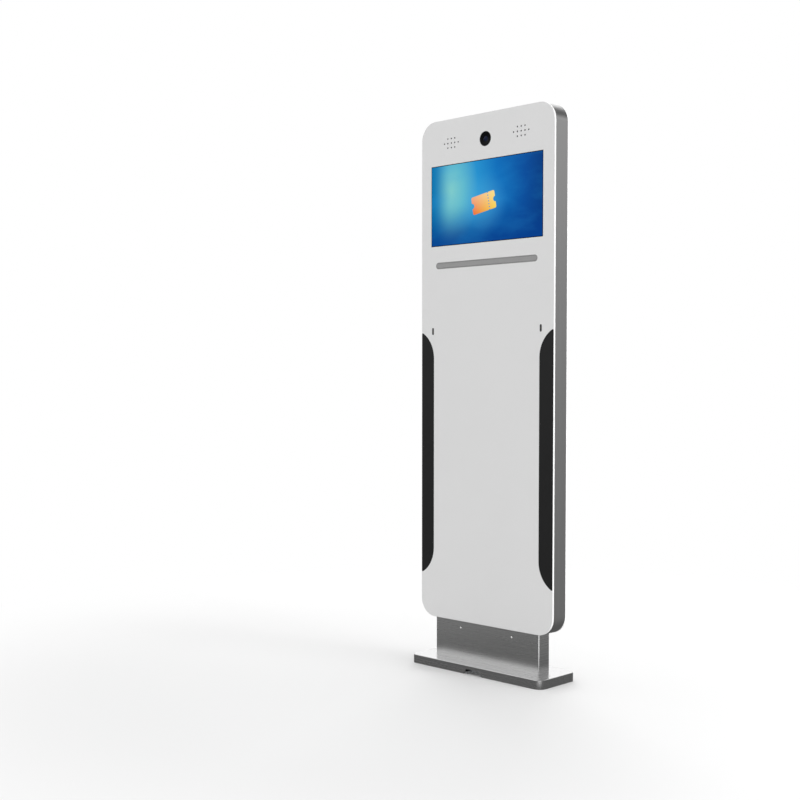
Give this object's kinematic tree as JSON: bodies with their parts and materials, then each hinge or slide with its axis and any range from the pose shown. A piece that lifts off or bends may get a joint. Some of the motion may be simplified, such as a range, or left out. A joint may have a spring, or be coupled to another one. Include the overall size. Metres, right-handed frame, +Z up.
{
  "type": "ticket vending machine",
  "caption": "Slim floor-standing ticket vending totem with a front screen, camera, speakers, ticket outlet, and a locked door on a steel stand.",
  "frame": {"origin": "on the floor, under the middle of the plinth", "axes": "+X to the customer's right, -Y out of the front towards the customer, +Z up"},
  "size_m": [0.566, 0.184, 1.83],
  "materials": {
    "white_paint": "smooth satin powder coat",
    "brushed_steel": "brushed across",
    "zinc_steel": "zinc plated",
    "grey_paint": "matt powder coat",
    "black_paint": "fine matt powder coat",
    "aluminium": "satin",
    "screen_glass": "polished, bonded to the display",
    "display": "lit panel",
    "camera_glass": "polished, smoked",
    "trim_black": "gloss acrylic",
    "outlet_grey": "fine satin",
    "black_plastic": "matt",
    "rubber": "matt",
    "brass": "turned",
    "cloth": "fine black speaker cloth",
    "paper": "uncoated thermal side out",
    "board_green": "solder mask",
    "red_plastic": "gloss"
  },
  "bodies": {
    "cabinet": {"floor_plate": "zinc_steel", "plinth_cover": "brushed_steel", "neck_shell": "brushed_steel", "neck_front_cover": "brushed_steel", "neck_screws": "zinc_steel", "support_columns": "grey_paint", "mounting_bridge": "grey_paint", "bridge_bolts": "zinc_steel", "frame_left": "brushed_steel", "frame_right": "brushed_steel", "frame_top": "brushed_steel", "frame_bottom": "brushed_steel", "cable_grommet": "rubber", "back_tray": "white_paint", "back_tray_nuts": "zinc_steel", "equipment_plate": "zinc_steel", "power_supply": "aluminium", "controller_box": "black_paint", "power_entry": "black_plastic", "fan_frames": "black_plastic", "hinge_frame_leaves": "zinc_steel", "hinge_pins": "zinc_steel"},
    "door": {"front_tray": "white_paint", "hinge_door_leaves": "zinc_steel", "side_trims": "trim_black", "screen_glass": "screen_glass", "display_module": "display", "display_rails": "zinc_steel", "display_board": "board_green", "camera_window": "camera_glass", "camera_module": "black_plastic", "camera_bracket": "zinc_steel", "speakers": "black_plastic", "speaker_screens": "cloth", "key_plates": "black_plastic", "lock_housings": "brass", "outlet_ring": "outlet_grey", "ticket_chute": "black_plastic", "printer_cradle": "zinc_steel", "print_head": "aluminium", "stepper_motor": "black_plastic", "roll_spindle": "zinc_steel", "cutter_guide": "aluminium"},
    "lock_right": {"lock_plug_right": "brass", "lock_cam_right": "zinc_steel"},
    "lock_left": {"lock_plug_left": "brass", "lock_cam_left": "zinc_steel"},
    "ticket_flap": {"outlet_flap": "outlet_grey"},
    "head_lever": {"head_release_lever": "red_plastic"},
    "platen": {"platen_roller": "rubber", "platen_shaft": "zinc_steel", "platen_gear": "red_plastic"},
    "pinion": {"motor_shaft": "zinc_steel", "motor_pinion": "brass"},
    "roll": {"paper_roll": "paper", "roll_core": "black_plastic"},
    "cutter": {"cutter_blade": "zinc_steel"},
    "rocker": {"power_rocker": "red_plastic"},
    "fan_left": {"fan_rotor_left": "black_plastic"},
    "fan_right": {"fan_rotor_right": "black_plastic"}
  },
  "joints": [
    {"name": "door_hinge", "type": "hinge", "parent": "cabinet", "child": "door", "pos_m": [-0.2804, -0.0314, 0.9935], "axis": [0, 0, -1], "range_deg": [0, 105]},
    {"name": "lock_right_turn", "type": "hinge", "parent": "door", "child": "lock_right", "pos_m": [0.231, -0.0264, 1.1275], "axis": [0, -1, 0], "range_deg": [0, 90]},
    {"name": "lock_left_turn", "type": "hinge", "parent": "door", "child": "lock_left", "pos_m": [-0.231, -0.0264, 1.1275], "axis": [0, 1, 0], "range_deg": [0, 90]},
    {"name": "ticket_flap_hinge", "type": "hinge", "parent": "door", "child": "ticket_flap", "pos_m": [0, -0.0345, 1.353], "axis": [-1, 0, 0], "range_deg": [0, 40]},
    {"name": "head_lever_lift", "type": "hinge", "parent": "door", "child": "head_lever", "pos_m": [-0.04625, -0.0192, 1.306], "axis": [1, 0, 0], "range_deg": [0, 45]},
    {"name": "platen_spin", "type": "hinge", "parent": "door", "child": "platen", "pos_m": [0, -0.008, 1.286], "axis": [1, 0, 0], "continuous": true},
    {"name": "pinion_spin", "type": "hinge", "parent": "door", "child": "pinion", "pos_m": [0.04175, 0.00193, 1.26733], "axis": [1, 0, 0], "continuous": true},
    {"name": "roll_spin", "type": "hinge", "parent": "door", "child": "roll", "pos_m": [0, -0.008, 1.216], "axis": [1, 0, 0], "continuous": true},
    {"name": "cutter_slide", "type": "slide", "parent": "door", "child": "cutter", "axis": [0, -1, 0], "range_m": [0, 0.008]},
    {"name": "rocker_tilt", "type": "hinge", "parent": "cabinet", "child": "rocker", "pos_m": [0.15, -0.0075, 0.478], "axis": [-1, 0, 0], "range_deg": [0, 10]},
    {"name": "fan_left_spin", "type": "hinge", "parent": "cabinet", "child": "fan_left", "pos_m": [-0.12, 0, 1.823], "axis": [0, 0, 1], "continuous": true},
    {"name": "fan_right_spin", "type": "hinge", "parent": "cabinet", "child": "fan_right", "pos_m": [0.12, 0, 1.823], "axis": [0, 0, 1], "continuous": true}
  ],
  "couplings": [
    {"joint": "pinion_spin", "follows": "platen_spin", "ratio": -2}
  ]
}
